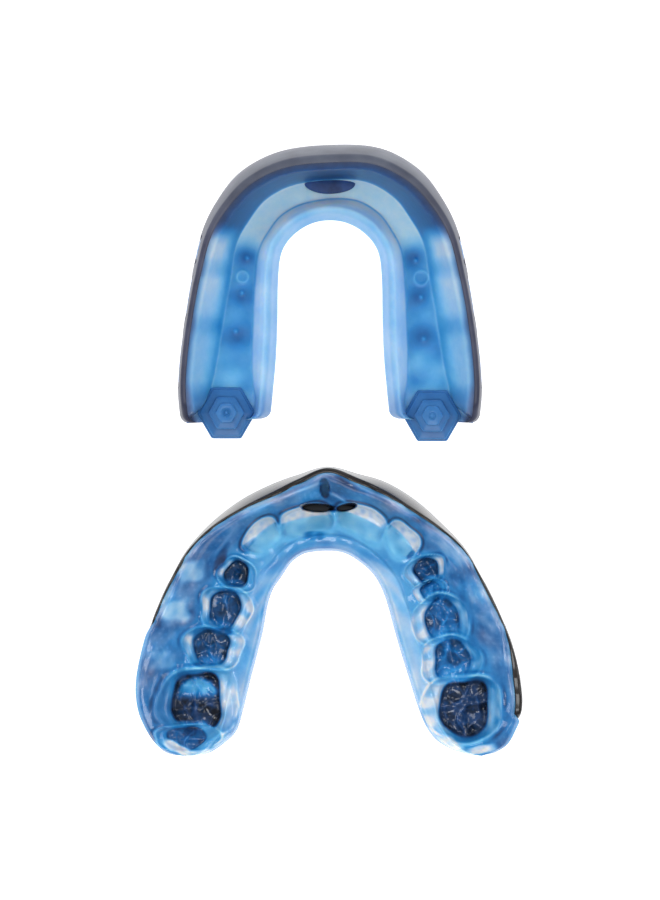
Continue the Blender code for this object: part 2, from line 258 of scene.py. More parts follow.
def frame_ring(stations):
    """The frame's L: a barrelled wall up to a round rim, and a base under the channel."""
    wide, rim, lean, wall, *_ = columns(stations)
    waist = np.minimum(5.6, 0.5 * rim)
    corners = [
        (1.7, BASE_LOW), (0.4, 3.0), (0.0, waist), (0.15 * lean, 0.64 * rim), (0.6 * lean, 0.87 * rim),
        (lean, rim), (lean + wall, rim), (0.6 * lean + wall, 0.87 * rim), (0.15 * lean + wall, 0.64 * rim),
        (wall, waist - 0.2), (wall + 1.0, BASE_TOP), (wide - 1.3, BASE_TOP), (wide - 1.3, BASE_LOW),
    ]
    radii = (1.2, 1.4, 3.0, 3.0, 2.0, 0.55, 0.2, 2.0, 3.0, 1.5, 0.8, 0.35, 0.35)
    fills = (0, 1, 3, 2, 2, 0, 1, 2, 3, 1, 4, 0, 4)
    return rounded_ring(stacked(corners), radii, fills)


def window_block(name, stations, side, y, length, margin):
    """A block with round corners that cuts one window square through the side wall, up to a margin
    under the rim."""
    arm = stations[stations[:, 0] * side > 0]
    order = np.argsort(abs(arm[:, 1] - y))
    here, beside = arm[order[0]], arm[order[1]]
    run = (beside[0:2] - here[0:2]) / np.linalg.norm(beside[0:2] - here[0:2])
    inward = np.array([-run[1], run[0]])
    inward *= np.sign(inward[0] * -side)
    half, low, high = length / 2, WINDOW_LOW, here[RIM] - margin
    box = np.array([[(-half, low), (half, low), (half, high), (-half, high)]])
    outline = rounded_ring(box, (WINDOW_ROUND,) * 4, (0,) * 4)[0]
    layers = [
        np.column_stack([here[0:2] + outline[:, :1] * run + depth * inward, outline[:, 1]])
        for depth in (-2.0, here[WALL] + 1.2)
    ]
    return skinned(name, np.array(layers))


def cut_windows(piece, name, stations, windows, margin):
    """Cut the windows through both sides with exact booleans and keep the result as the mesh."""
    cutters = [
        window_block(f"{name}_{side}_{number}", stations, side, y, length, margin)
        for side in (-1, 1) for number, (y, length) in enumerate(windows)
    ]
    for cutter in cutters:
        tool = piece.modifiers.new(cutter.name, "BOOLEAN")
        tool.operation, tool.solver, tool.object = "DIFFERENCE", "EXACT", cutter
    seen = piece.evaluated_get(bpy.context.evaluated_depsgraph_get())
    mesh = bpy.data.meshes.new_from_object(seen)
    piece.modifiers.clear()
    piece.data = mesh
    for cutter in cutters:
        bpy.data.objects.remove(cutter)
    mesh.set_sharp_from_angle(angle=math.radians(SHARP_DEGREES))


def finish(name, settings):
    """A new material with its shader's own inputs set: the material, its nodes and the shader."""
    material = bpy.data.materials.new(name)
    material.use_nodes = True
    tree = material.node_tree
    shader = tree.nodes["Principled BSDF"]
    for socket, value in settings.items():
        shader.inputs[socket].default_value = value
    return material, tree, shader


def smoked_elastomer():
    """Smoke-tinted TPE, moulded satin: grey-violet on the arms, where gel shows dark behind it, and a
    lighter grey round the front, where it stands over the gel and where the extra lightness is a
    painted sheen of white light on its satin skin."""
    material, tree, shader = finish("smoked TPE, moulded satin", {
        "Roughness": 0.42, "IOR": 1.5, "Specular IOR Level": 0.3})
    place = add(tree, "ShaderNodeTexCoord").outputs["Object"]
    cloud = add(tree, "ShaderNodeTexNoise", {"Scale": 1 / (6.0 * MM), "Detail": 3.0}, {"Vector": place})
    arms = ramp(tree, cloud.outputs["Fac"], ((0.3, "32354A"), (0.5, "3A3D52"), (0.7, "44475E")))
    # The front's lighter ramp is a painted sheen of the white light on the satin skin.
    front_sheen = ramp(tree, cloud.outputs["Fac"], ((0.3, "4A4E5C"), (0.5, "555A69"), (0.7, "626773")))
    depth = add(tree, "ShaderNodeSeparateXYZ", links={0: place}).outputs["Y"]
    share = add(tree, "ShaderNodeMapRange", {1: 38 * MM, 2: 54 * MM}, {0: depth}).outputs[0]
    colour = add(tree, "ShaderNodeMix", links={0: share, 6: arms, 7: front_sheen}, data_type="RGBA")
    tree.links.new(colour.outputs[2], shader.inputs["Base Color"])
    tree.links.new(grain_bump(tree, 0.3, 0.012), shader.inputs["Normal"])
    return material


def dressed(piece, material, body, slot, *nodes):
    """Give a piece its material, its body and the nodes that it stands for; the slot argument is not used.
    """
    piece.data.materials.clear()
    piece.data.materials.append(material)
    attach(piece, body)
    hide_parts(*nodes)


stock_rows = whole_arch(STOCK_ARM, STOCK_SKEW, STOCK_SKEW_REACH)
stock = rounded_ends(even_stations(stock_rows, STOCK_RINGS), END_ROUND)
tail_end = smooth(8.8, 4.9, stock[:, 1])
narrowed = 0.5 * (columns(even_stations(stock_rows, STOCK_RINGS))[0] - columns(stock)[0])
stock[:, RIM] -= TAIL_DROP * tail_end
stock[:, FLOOR_OUT] -= TAIL_OUT * tail_end + 0.6 * narrowed
stock[:, FLOOR_IN] = np.minimum(stock[:, FLOOR_IN] + TAIL_IN * tail_end - narrowed, columns(stock)[0] - 3.4)
stock[:, FLOOR_OUT] = np.minimum(stock[:, FLOOR_OUT], stock[:, FLOOR_IN] - 3.0)
stock_frame = skinned("stock_frame_shell", placed(stock, frame_ring(stock)))
cut_windows(stock_frame, "window", stock, STOCK_WINDOWS, WINDOW_MARGIN)
dressed(stock_frame, smoked_elastomer(), "stock_guard", "smoked_frame_elastomer", "stock_outer_frame")


# --- Gel liner of the guard as moulded -----------------------------------------------------------
# The blue channel that the teeth will sit in: a soft EVA gel moulded into the frame. It is satin and
# lets light through, so it is pale where the windows or the white table light it from behind, and
# dark over the frame wall and over the pads' studs.

LINER_LOW, FLOOR_TOP, CLEAR = 3.3, 4.8, 0.04
STUDS = ((15.5, 35.7, 2.1), (16.4, 28.4, 2.0), (17.4, 21.0, 2.5))
PIMPLES = ((-15.35, 35.6), (-16.3, 29.1), (-17.4, 22.0), (15.9, 35.2), (16.9, 28.3), (17.4, 20.6))
PIN_MARKS = ((-16.2, 32.1, 1.05), (16.9, 31.9, 1.3))
PIMPLE_HIGH, PIN_MARK_HIGH, WAVY_HIGH = 0.3, 0.16, 0.05

GEL_STOPS = ((0.0, "0B1220"), (0.12, "1B2C48"), (0.25, "24487A"), (0.38, "226AA8"), (0.5, "3484C6"),
             (0.62, "519FDB"), (0.74, "7DBBE8"), (0.86, "A9D0F0"), (0.94, "CFE2F2"), (1.0, "EAE9E8"))
CYAN_STOPS = ((0.0, "0A1622"), (0.25, "14507E"), (0.38, "1B72B4"), (0.5, "2E95D3"), (0.62, "57AEDD"),
              (0.74, "74C8F0"), (0.86, "92DCFA"), (1.0, "E4EEF0"))
# The grey-violet ramp: the frame's tint behind the gel, and painted grey highlights and shade.
SMOKE_AND_PAINTED_LIGHT_STOPS = ((0.0, "14151C"), (0.25, "3A4664"), (0.4, "47618F"), (0.5, "5A6C93"), (0.62, "7083AC"),
               (0.74, "8D9CC2"), (0.86, "B0B5CB"), (1.0, "E2E0E0"))


def bell(x, y, cx, cy, rx, ry=None):
    """A bell: e to the minus squared distance, in units of its two radii."""
    return np.exp(-((x - cx) / rx) ** 2 - ((y - cy) / (ry or rx)) ** 2)


def towards(value, mask, target):
    """Lay a target over a field, as much as a mask says."""
    return value + (target - value) * mask


def ripples(x, y, size, seed, waves=14):
    """Smooth random relief between about -1 and 1: the mean of plane waves of nearly one length, in
    random directions and phases."""
    rng = np.random.default_rng(seed)
    turn, phase = rng.uniform(0, 2 * np.pi, waves), rng.uniform(0, 2 * np.pi, waves)
    number = 2 * np.pi / (size * rng.uniform(0.75, 1.35, waves))
    total = np.zeros_like(x)
    for k, a, p in zip(number, turn, phase):
        total += np.sin(k * (x * math.cos(a) + y * math.sin(a)) + p)
    return total / math.sqrt(waves / 2) / 1.6


def gel(name, roughness, coat, coat_roughness, grain_mm, grain_high_mm, mottle, through, through_mm):
    """Blue EVA gel. Its colour runs from navy to white by how much light comes through it, which the
    clarity attribute holds as painted light, with painted highlights and painted shade laid into it.
    It turns grey-violet where the smoke attribute says that the frame's tint lies
    behind it, and at the painted grey highlights and grey shade that this attribute also carries,
    and greener where the cyan attribute says that it is thick and backlit."""
    material, tree, shader = finish(name, {
        "Roughness": roughness, "IOR": 1.49, "Specular IOR Level": 0.2, "Coat Weight": coat,
        "Coat Roughness": coat_roughness, "Subsurface Weight": through,
        "Subsurface Radius": (0.5, 0.9, 1.4), "Subsurface Scale": through_mm * MM})
    clarity, smoke, cyan = (
        add(tree, "ShaderNodeAttribute", attribute_name=field).outputs["Fac"]
        for field in ("clarity", "smoke", "cyan")
    )
    place = add(tree, "ShaderNodeTexCoord").outputs["Object"]
    cloud = add(tree, "ShaderNodeTexNoise", {"Scale": 1 / (1.6 * MM), "Detail": 4.0, "Roughness": 0.6},
                {"Vector": place}).outputs["Fac"]
    shift = add(tree, "ShaderNodeMath", {1: mottle}, {0: cloud}, operation="MULTIPLY").outputs[0]
    level = add(tree, "ShaderNodeMath", links={0: clarity, 1: shift}, operation="ADD").outputs[0]
    level = add(tree, "ShaderNodeMath", {1: mottle / 2}, {0: level}, operation="SUBTRACT").outputs[0]
    blue = add(tree, "ShaderNodeMix", links={0: cyan, 6: ramp(tree, level, GEL_STOPS),
                                            7: ramp(tree, level, CYAN_STOPS)}, data_type="RGBA")
    colour = add(tree, "ShaderNodeMix", links={0: smoke, 6: blue.outputs[2],
                                              7: ramp(tree, level, SMOKE_AND_PAINTED_LIGHT_STOPS)}, data_type="RGBA")
    tree.links.new(colour.outputs[2], shader.inputs["Base Color"])
    tree.links.new(grain_bump(tree, grain_mm, grain_high_mm), shader.inputs["Normal"])
    return material


def liner_ring(stations):
    """The liner's U: a back against the frame, the lip-side wall's slope, the floor, and the
    tongue-side wall with a step on its channel face."""
    wide, rim, lean, wall, floor_out, floor_in, crest = columns(stations)
    clear = wall - CLEAR
    top_in = np.minimum(lean + clear + 1.3, floor_out - 0.5)
    corners = [
        (clear + 1.6, LINER_LOW), (clear, 5.4), (0.15 * lean + clear, 0.64 * rim),
        (0.6 * lean + clear, 0.87 * rim), (lean + clear, rim - 0.05), (top_in, rim - 0.7),
        (0.45 * top_in + 0.55 * floor_out, 0.5 * (rim + FLOOR_TOP) - 0.8),
        (floor_out, FLOOR_TOP), (floor_in, FLOOR_TOP),
        (floor_in + 0.55 * (wide - 2.4 - floor_in), 0.55 * (crest + FLOOR_TOP)),
        (wide - 2.5, crest), (wide - 1.5, crest - 0.3), (wide, 4.6), (wide - 0.7, LINER_LOW),
    ]
    radii = (0.8, 1.5, 3.0, 2.0, 0.1, 0.5, 3.0, 0.28, 0.3, 0.5, 0.5, 0.8, 0.8, 0.5)
    fills = (1, 7, 6, 2, 0, 6, 8, 22, 6, 6, 1, 6, 1, 6)
    return rounded_ring(stacked(corners), radii, fills)


ring = liner_ring(stock)
points = placed(stock, ring)
across, height = ring[:, :, 0], ring[:, :, 1]
x, y = points[:, :, 0], points[:, :, 1]
wide, rim, lean, wall, floor_out, floor_in, crest = (c[:, None] for c in columns(stock))
front = smooth(34.0, 44.0, stock[:, 1])[:, None]
tail = smooth(13.0, 7.0, stock[:, 1])[:, None]
channel = (across > lean + wall + 0.4) & (height > 3.6)

# The gel bulges into each window from behind, and the windows' light comes through the wall.
window_glow = np.zeros_like(x)
for window_y, length in STOCK_WINDOWS:
    window_glow += smooth(length / 2 + 2.2, length / 2 - 2.0, abs(y - window_y))
back = (across < 0.6 * lean + wall + 0.4) & (height > 4.0)
window_glow = np.clip(window_glow, 0, 1)
window_top = rim - WINDOW_MARGIN
open_part = smooth(WINDOW_LOW, WINDOW_LOW + 1.2, height) * smooth(window_top, window_top - 1.2, height)
bulge = np.where(back, open_part * window_glow, 0)
points[:, :, :2] -= inwards(stock)[:, None] * (bulge * (wall - 0.1))[:, :, None]

# Gate marks on the floor: a small pimple over each stud, and a shallow ring from an ejector pin.
top_floor = (height > FLOOR_TOP - 0.6) & (across > floor_out - 0.4) & (across < floor_in + 0.4)
for px, py in PIMPLES:
    points[:, :, 2] += np.where(top_floor, PIMPLE_HIGH * bell(x, y, px, py, 0.32), 0)
for px, py, radius in PIN_MARKS:
    away = np.hypot(x - px, y - py) - radius
    points[:, :, 2] += np.where(top_floor, PIN_MARK_HIGH * hump(away, 0.2), 0)
points[:, :, 2] += np.where(channel, WAVY_HIGH * ripples(x, y, 4.5, 3), 0)

# How much light comes through, region by region.
on_floor = smooth(floor_out - 0.15, floor_out + 0.25, across)
on_floor = on_floor * smooth(floor_in + 0.3, floor_in - 0.1, across)
tongue_side = smooth(floor_in - 0.1, floor_in + 0.5, across)
on_wall = 1 - smooth(floor_out - 0.3, floor_out + 0.1, across)
down_wall = np.clip((across - lean - wall) / (floor_out - lean - wall), 0, 1)
arms_wall = 0.66 - 0.20 * smooth(0.3, 0.95, down_wall) + 0.04 * ripples(x, y, 9.0, 5)
wall_light = towards(arms_wall, front, 0.26 + 0.10 * down_wall)
glow = window_glow * smooth(-0.6, 0.15, down_wall) * smooth(1.12, 0.55, down_wall)
wall_light = towards(wall_light, glow * (1 - 0.5 * tail), 0.92 - 0.14 * smooth(34.0, 20.0, y))
# Painted shadow: the wall over the lens is painted dark.
lens_shadow = bell(x, y, 0.0, 50.6, 4.6, 1.5) * on_wall
wall_light = towards(wall_light, 0.8 * lens_shadow, 0.22)
floor_light = towards(0.57 + 0.05 * smooth(22.0, 10.0, y), front, 0.90)
floor_light = floor_light + 0.07 * ripples(x, y, 6.0, 8) * (1 - front)
for sx, sy, reach in STUDS:
    for side in (-1, 1):
        floor_light = towards(floor_light, 0.9 * bell(x, y, side * sx, sy, reach, reach * 0.95), 0.33)
# Painted shade: the tongue-side wall's upward top and inner face are painted darker.
face_up = smooth(wide - 2.9, wide - 2.0, across)
tongue_light = 0.87 - 0.08 * face_up - 0.06 * smooth(wide - 1.6, wide, across)
tongue_light = tongue_light + 0.03 * ripples(x, y, 8.0, 11)
clarity = towards(wall_light, on_floor, floor_light)
clarity = towards(clarity, tongue_side, tongue_light)
# Painted highlights: pale lines along the floor's outer and inner edges, dimmed at the tails and in the
# painted shadow over the lens.
edge_highlight = hump(across - floor_out, 0.22) + 0.5 * hump(across - floor_in, 0.22)
clarity = clarity + 0.14 * edge_highlight * (1 - 0.7 * tail) * (1 - 0.8 * lens_shadow)
# Painted light: the foot of the tongue-side wall at the front, which its steepness leaves in shade, is
# painted lighter and, through the cyan field, greener.
foot_fill_light = front * tongue_side * smooth(floor_in + 2.0, floor_in + 0.8, across)
clarity = clarity + 0.12 * foot_fill_light
clarity = towards(clarity, tail * 0.8, 0.62)
# The ejector rings are painted lighter, and each pimple gets a painted highlight dot.
for px, py, radius in PIN_MARKS:
    away = np.hypot(x - px, y - py) - radius
    clarity = clarity + np.where(top_floor, 0.10 * hump(away, 0.22), 0)
for px, py in PIMPLES:
    clarity = clarity + np.where(top_floor, 0.18 * bell(x, y, px, py, 0.35), 0)
at_rim = smooth(1.6, -0.1, across - lean - wall)
clarity = clarity - 0.30 * smooth(1.1, -0.1, across - lean - wall) * (1 - front) * (1 - 0.6 * tail)
smoke = at_rim * (1 - 0.45 * glow) + 0.35 * tail
smoke = smoke + 0.2 * front * smooth(0.6, 0.0, down_wall) * on_wall
# Painted shade: the tongue-side wall's top is also painted greyer on the arms.
smoke = smoke + 0.15 * tongue_side * (1 - front) * face_up
cyan = on_floor * (0.45 - 0.1 * front) + 0.6 * on_wall * smooth(0.3, 0.9, down_wall) + 0.7 * foot_fill_light
cyan = cyan * (1 - tail)
stock_liner = skinned("stock_liner_gel", points, clarity=clarity, smoke=smoke, cyan=cyan)
satin_gel = gel("EVA gel, moulded satin", roughness=0.38, coat=0.12, coat_roughness=0.35, grain_mm=0.28,
                grain_high_mm=0.010, mottle=0.10, through=0.6, through_mm=2.5)
dressed(stock_liner, satin_gel, "stock_guard", "satin_blue_gel", "stock_gel_liner")


# --- Front insert of the guard as moulded --------------------------------------------------------
# A lens of dark rubber let into the liner's floor behind the front teeth, over the breathing gap.
# It is moulded with the pads and lies a little proud of the floor.

def lens(name, cx, cy, half_long, rise, drop, low, high, dome):
    """A bowl-shaped slab: the outline's upper edge is a flat arc and its lower one a deep arc, both
    half cosines raised to a power; the top is a low dome and the side is square."""
    turn = np.linspace(0, 2 * np.pi, 64, endpoint=False)
    ox = half_long * np.cos(turn)
    oy = np.where(np.sin(turn) > 0, rise, drop) * np.sin(turn)
    rings = []
    for share, z in ((0.02, low), (0.96, low), (1.0, low + 0.2), (1.0, high), (0.95, high + 0.12)):
        rings.append(np.column_stack([cx + share * ox, cy + share * oy, z + 0 * ox]))
    for share in (0.8, 0.6, 0.4, 0.2, 0.02):
        z = high + 0.12 + dome * (1 - share**2)
        rings.append(np.column_stack([cx + share * ox, cy + share * oy, z + 0 * ox]))
    return skinned(name, np.array(rings))


def dark_rubber(name, stops, roughness, grain, cloud_mm=3.0, detail=4.0, more=()):
    """Filled rubber: nearly black, with a faint cloud of bloom, and a moulded grain that is given by
    its size and height in millimetres, and by its own roughness and detail if they aren't usual."""
    settings = {"Roughness": roughness, "IOR": 1.52, "Specular IOR Level": 0.3, **dict(more)}
    material, tree, shader = finish(name, settings)
    place = add(tree, "ShaderNodeTexCoord").outputs["Object"]
    cloud = add(tree, "ShaderNodeTexNoise", {"Scale": 1 / (cloud_mm * MM), "Detail": detail},
                {"Vector": place})
    tree.links.new(ramp(tree, cloud.outputs["Fac"], stops), shader.inputs["Base Color"])
    tree.links.new(grain_bump(tree, *grain), shader.inputs["Normal"])
    return material


def middle_of(box):
    """The middle of a box seen from above, in millimetres."""
    low, high = box
    return 0.5 * (low.x + high.x) / MM, 0.5 * (low.y + high.y) / MM


insert_x, insert_y = middle_of(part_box("stock_front_insert"))
stock_insert = lens("stock_breathing_insert", insert_x, insert_y + 0.65, half_long=4.8, rise=0.75,
                    drop=1.9, low=3.4, high=4.75, dome=0.14)
insert_rubber = dark_rubber("insert rubber under gel, satin", ((0.35, "14305E"), (0.65, "264A84")),
                            roughness=0.5, grain=(0.3, 0.008))
dressed(stock_insert, insert_rubber, "stock_guard", "dark_insert_rubber", "stock_front_insert")


# --- End bosses of the guard as moulded ----------------------------------------------------------
# A stepped hexagon stands at the end of each arm, where the smoke elastomer was let into the tool.
# It keeps the round gate mark in its top and is cut off when the guard is fitted.

BOSS_PLACES = {"left": (-19.2, 6.85), "right": (18.95, 6.35)}
BOSS_TIERS = ((5.45, 2.1, 5.3), (5.0, 5.3, 5.7), (3.4, 5.75, 6.5), (2.05, 6.55, 7.2))


def hexagon(x, y, radius, z, rounding=0.35):
    """A hexagon of points at one height, its corners rounded by a radius."""
    turn = np.arange(6) * np.pi / 3
    corners = np.stack([x + radius * np.cos(turn), y + radius * np.sin(turn)], axis=1)[None]
    flat = rounded_ring(corners, (rounding,) * 6, (3,) * 6)[0]
    return np.column_stack([flat, np.full(len(flat), z)])


def end_boss(name, x, y, dimple):
    """A stack of hexagons with a bevel at the top of each tier, and a gate mark: a low cone, or a
    crater with a bead in it."""
    foot_radius, foot_low, _ = BOSS_TIERS[0]
    rings = [hexagon(x, y, 0.1, foot_low, 0.02), hexagon(x, y, foot_radius, foot_low)]
    for radius, low, high in BOSS_TIERS:
        rings += [hexagon(x, y, radius, low + 0.02), hexagon(x, y, radius, high - 0.16)]
        rings += [hexagon(x, y, radius - 0.06, high - 0.05), hexagon(x, y, radius - 0.2, high)]
    top = BOSS_TIERS[-1][2]
    if dimple:
        gate = ((1.3, 0.0), (0.95, -0.12), (0.7, -0.45), (0.45, -0.6), (0.3, -0.35), (0.1, -0.22))
    else:
        gate = ((1.3, 0.0), (1.05, 0.08), (0.8, 0.02), (0.5, 0.22), (0.3, 0.38), (0.1, 0.42))
    rings += [hexagon(x, y, radius, top + rise, 0.8 * radius * 0.55) for radius, rise in gate]
    points = np.array(rings)
    px, py = points[:, :, 0], points[:, :, 1]
    away = np.hypot(px - x, py - y)
    clarity = 0.40 + 0.06 * smooth(2.9, 2.2, away) + 0.02 * ripples(px, py, 4.0, 21)
    # Painted highlight: each tier's bevel is painted lighter on its side towards minus y.
    bevel = np.zeros(len(points))
    bevel[[4, 8, 12, 16]] = 1
    clarity = clarity + 0.22 * bevel[:, None] * smooth(y - 1.0, y - 3.0, py)
    return skinned(name, points, clarity=clarity, smoke=0.25 + 0 * clarity, cyan=0 * clarity)


boss_gel = gel("smoke-tinted TPE over gel, moulded satin", roughness=0.36, coat=0.15, coat_roughness=0.3,
               grain_mm=0.3, grain_high_mm=0.008, mottle=0.06, through=0.25, through_mm=1.0)
for word, (boss_x, boss_y) in BOSS_PLACES.items():
    boss = end_boss(f"stock_hex_boss_{word}", boss_x, boss_y, word == "left")
    boss.data.set_sharp_from_angle(angle=math.radians(50))
    dressed(boss, boss_gel, "stock_guard", "boss_elastomer", f"stock_end_boss_{word}")


# --- Bite pads of both guards --------------------------------------------------------------------
# A flat pad of black rubber under the molars of each arm, keyed up through the frame's base. Its
# underside is moulded with cross grooves that grip the lower teeth and let the guard flex.

PAD_INSET, PAD_TOP, PAD_GROOVE = 2.8, 1.7, 0.45
PAD_RINGS, PAD_ROUND, GROOVE_PITCH = 240, 1.8, 2.6


def arm_part(rows, side, low, high, count):
    """Stations along one arm between two fractions of the way from the midline to its end."""
    first, last = sorted((0.5 + 0.5 * side * low, 0.5 + 0.5 * side * high))
    return along(rows, np.linspace(first, last, count) * (len(rows) - 1))


def bite_pad(name, rows, side, span):
    """The pad's cross-section carried along the arm. The grooves are a cosine of the distance along
    it, raised to keep flat lands between them, and run out before the pad's long edges."""
    stations = rounded_ends(arm_part(rows, side, *span, PAD_RINGS), PAD_ROUND)
    wide = columns(stations)[0]
    near, far = PAD_INSET, wide - PAD_INSET
    corners = [
        (near + 0.3, PAD_TOP), (near, 0.9), (near + 0.5, 0.0),
        (far - 0.5, 0.0), (far, 0.9), (far - 0.3, PAD_TOP),
    ]
    ring = rounded_ring(stacked(corners), (0.2, 0.5, 0.4, 0.4, 0.5, 0.2), (0, 1, 16, 1, 0, 8))
    points = placed(stations, ring)
    across, height = ring[:, :, 0], ring[:, :, 1]
    run = length_along(points.mean(axis=1)[:, :2])
    bow = abs(across - 0.5 * wide[:, None]) * 0.35
    wave = np.cos(2 * np.pi * (run[:, None] + bow) / GROOVE_PITCH)
    inside = smooth(0.4, 1.3, across - near) * smooth(0.4, 1.3, far[:, None] - across)
    ends = smooth(0.6, 1.6, np.minimum(run, run[-1] - run))[:, None]
    groove = PAD_GROOVE * smooth(0.35, 0.85, wave) * inside * ends
    points[:, :, 2] += np.where(height < 0.3, groove, 0)
    return skinned(name, points)


pad_rubber = dark_rubber("bite pad rubber, moulded matt", ((0.3, "15181F"), (0.7, "252A35")),
                         roughness=0.55, grain=(0.35, 0.02))


# --- Outer frame of the fitted guard -------------------------------------------------------------
# The same shell in black TPE, boiled and pressed to the mouth: the arch has spread, the front has
# come to a point under the lip and the wall has drawn thin, so only its glossy rim shows from above.

# The same measures as the other guard's, less the wall's thickness, which is worked out below.
FITTED_MIDDLE = (-0.4, -3.0, -1.2, -18.7, 16.5, 0.3, 7.6, 13.0, 8.2)
FITTED_RIGHT = (
    (5.5, -4.4, 1.4, -18.8, 16.3, 0.9, 7.6, 13.0, 8.2),
    (10.5, -5.9, 3.4, -19.4, 16.0, 1.7, 7.4, 13.0, 8.2),
    (15.9, -9.2, 5.6, -20.8, 15.4, 1.7, 7.2, 12.9, 8.2),
    (20.9, -13.7, 7.9, -22.9, 14.6, 0.8, 7.0, 12.8, 8.2),
    (25.0, -18.1, 9.5, -25.5, 13.6, 0.3, 7.4, 13.4, 8.2),
    (28.3, -23.7, 10.7, -28.8, 12.6, 0.2, 8.0, 14.6, 8.2),
    (31.6, -30.3, 12.0, -33.6, 11.8, 0.2, 8.4, 15.9, 8.2),
    (34.1, -36.8, 13.4, -38.4, 11.2, 0.2, 8.4, 16.6, 8.2),
    (35.4, -43.0, 14.9, -43.2, 10.8, 0.2, 7.8, 16.6, 8.0),
    (35.6, -48.1, 16.3, -47.6, 10.4, 0.2, 7.0, 15.8, 7.8),
    (34.0, -52.3, 17.9, -51.4, 9.8, 0.3, 5.8, 12.4, 7.4),
    (32.6, -54.6, 20.0, -54.0, 9.0, 0.3, 4.4, 8.4, 7.0),
    (30.4, -56.0, 23.2, -55.7, 8.2, 0.2, 2.6, 4.6, 6.6),
    (28.2, -56.6, 26.0, -56.5, 7.4, 0.0, 0.8, 1.4, 6.2),
)
FITTED_LEFT = (
    (-6.0, -4.5, -3.4, -18.9, 16.3, 0.9, 7.6, 13.0, 8.2),
    (-11.0, -6.3, -5.2, -19.4, 16.0, 1.6, 7.4, 13.0, 8.2),
    (-16.6, -9.2, -7.2, -20.9, 15.4, 1.5, 7.2, 12.9, 8.2),
    (-22.0, -13.4, -9.0, -23.5, 14.6, 0.7, 7.0, 12.8, 8.2),
    (-26.3, -18.1, -10.6, -25.9, 13.6, 0.3, 7.4, 13.4, 8.2),
    (-29.4, -23.4, -11.6, -29.0, 12.6, 0.2, 8.0, 14.6, 8.2),
    (-32.4, -29.9, -12.4, -33.5, 11.8, 0.2, 8.4, 15.9, 8.2),
    (-34.6, -36.5, -13.6, -38.3, 11.2, 0.2, 8.4, 16.6, 8.2),
    (-35.8, -43.0, -14.9, -43.3, 10.8, 0.2, 7.8, 16.6, 8.0),
    (-35.4, -48.1, -16.0, -47.8, 10.4, 0.2, 7.0, 15.8, 7.8),
    (-33.6, -52.3, -17.3, -52.0, 9.8, 0.3, 5.6, 12.2, 7.4),
    (-31.8, -54.7, -19.8, -54.5, 9.0, 0.3, 4.4, 8.0, 7.0),
    (-29.8, -56.2, -22.3, -56.1, 8.2, 0.2, 3.0, 4.6, 6.6),
    (-27.4, -56.6, -24.6, -56.6, 7.4, 0.0, 1.0, 1.8, 6.2),
)
FITTED_RINGS = 520
FITTED_WINDOWS, FITTED_MARGIN = ((-22.5, 5.0), (-30.0, 6.0), (-39.0, 6.2)), 1.4

ROLLED_DROP, ROLLED_IN, FRAME_BACK = 1.7, 0.25, -54.4
fitted_rows = np.insert(np.array(FITTED_LEFT[::-1] + (FITTED_MIDDLE,) + FITTED_RIGHT), WALL, 0.0, axis=1)
fitted = even_stations(fitted_rows, FITTED_RINGS)
on_left = fitted[:, 0] < 0
# Where the gel has rolled out over the frame's rim, and how wide the rim shows elsewhere.
LEFT_ROLLED, RIGHT_ROLLED = (-31.0, -34.5), (-48.6, -50.4)
rolled = np.where(on_left, smooth(*LEFT_ROLLED, fitted[:, 1]), smooth(*RIGHT_ROLLED, fitted[:, 1]))
rim_shows = 0.46 + 0.45 * smooth(-9.0, -4.0, fitted[:, 1])
rim_shows = rim_shows + 0.1 * ripples(fitted[:, 0], fitted[:, 1], 9.0, 31)
rim_shows = rim_shows + np.where(on_left, 0, 0.75 * smooth(-33.0, -43.0, fitted[:, 1]))
fitted[:, WALL] = rim_shows


def fitted_frame_stations():
    """The frame's own stations: its rim is lower where the gel lies over it, and it ends a little
    inside the gel at the back of each arm."""
    own = fitted.copy()
    own[:, RIM] -= ROLLED_DROP * rolled + 0.25 * abs(ripples(fitted[:, 0], fitted[:, 1], 6.0, 33))
    own[:, 0:2] += (ROLLED_IN * rolled)[:, None] * inwards(own)
    return own[fitted[:, 1] > FRAME_BACK]


# Black TPE with the skin that hot water and the mouth leave: glossy, with soft ripples.
black_elastomer = dark_rubber(
    "black TPE, heat glossed", ((0.3, "161414"), (0.7, "2A2625")), roughness=0.24,
    grain=(1.8, 0.008, 0.4, 2.0), cloud_mm=5.0, detail=3.0,
    more={"IOR": 1.5, "Specular IOR Level": 0.35, "Coat Weight": 0.1, "Coat Roughness": 0.1})

frame_stations = fitted_frame_stations()
fitted_frame = skinned("fitted_frame_shell", placed(frame_stations, frame_ring(frame_stations)))
cut_windows(fitted_frame, "fitted_window", frame_stations, FITTED_WINDOWS, FITTED_MARGIN)
dressed(fitted_frame, black_elastomer, "fitted_guard", "black_frame_elastomer", "fitted_outer_frame")


# --- Gel liner of the fitted guard ---------------------------------------------------------------
# The same gel, softened in hot water and bitten. It has flowed up round each tooth and taken the
# teeth's shapes, and its skin is glossy. Over the pads it is bitten so thin that it looks black;
# where a socket's side is thin against the light it is nearly white.

TOP_POINTS, LEG_STEPS, GEL_LEVEL = 146, 5, 7.3

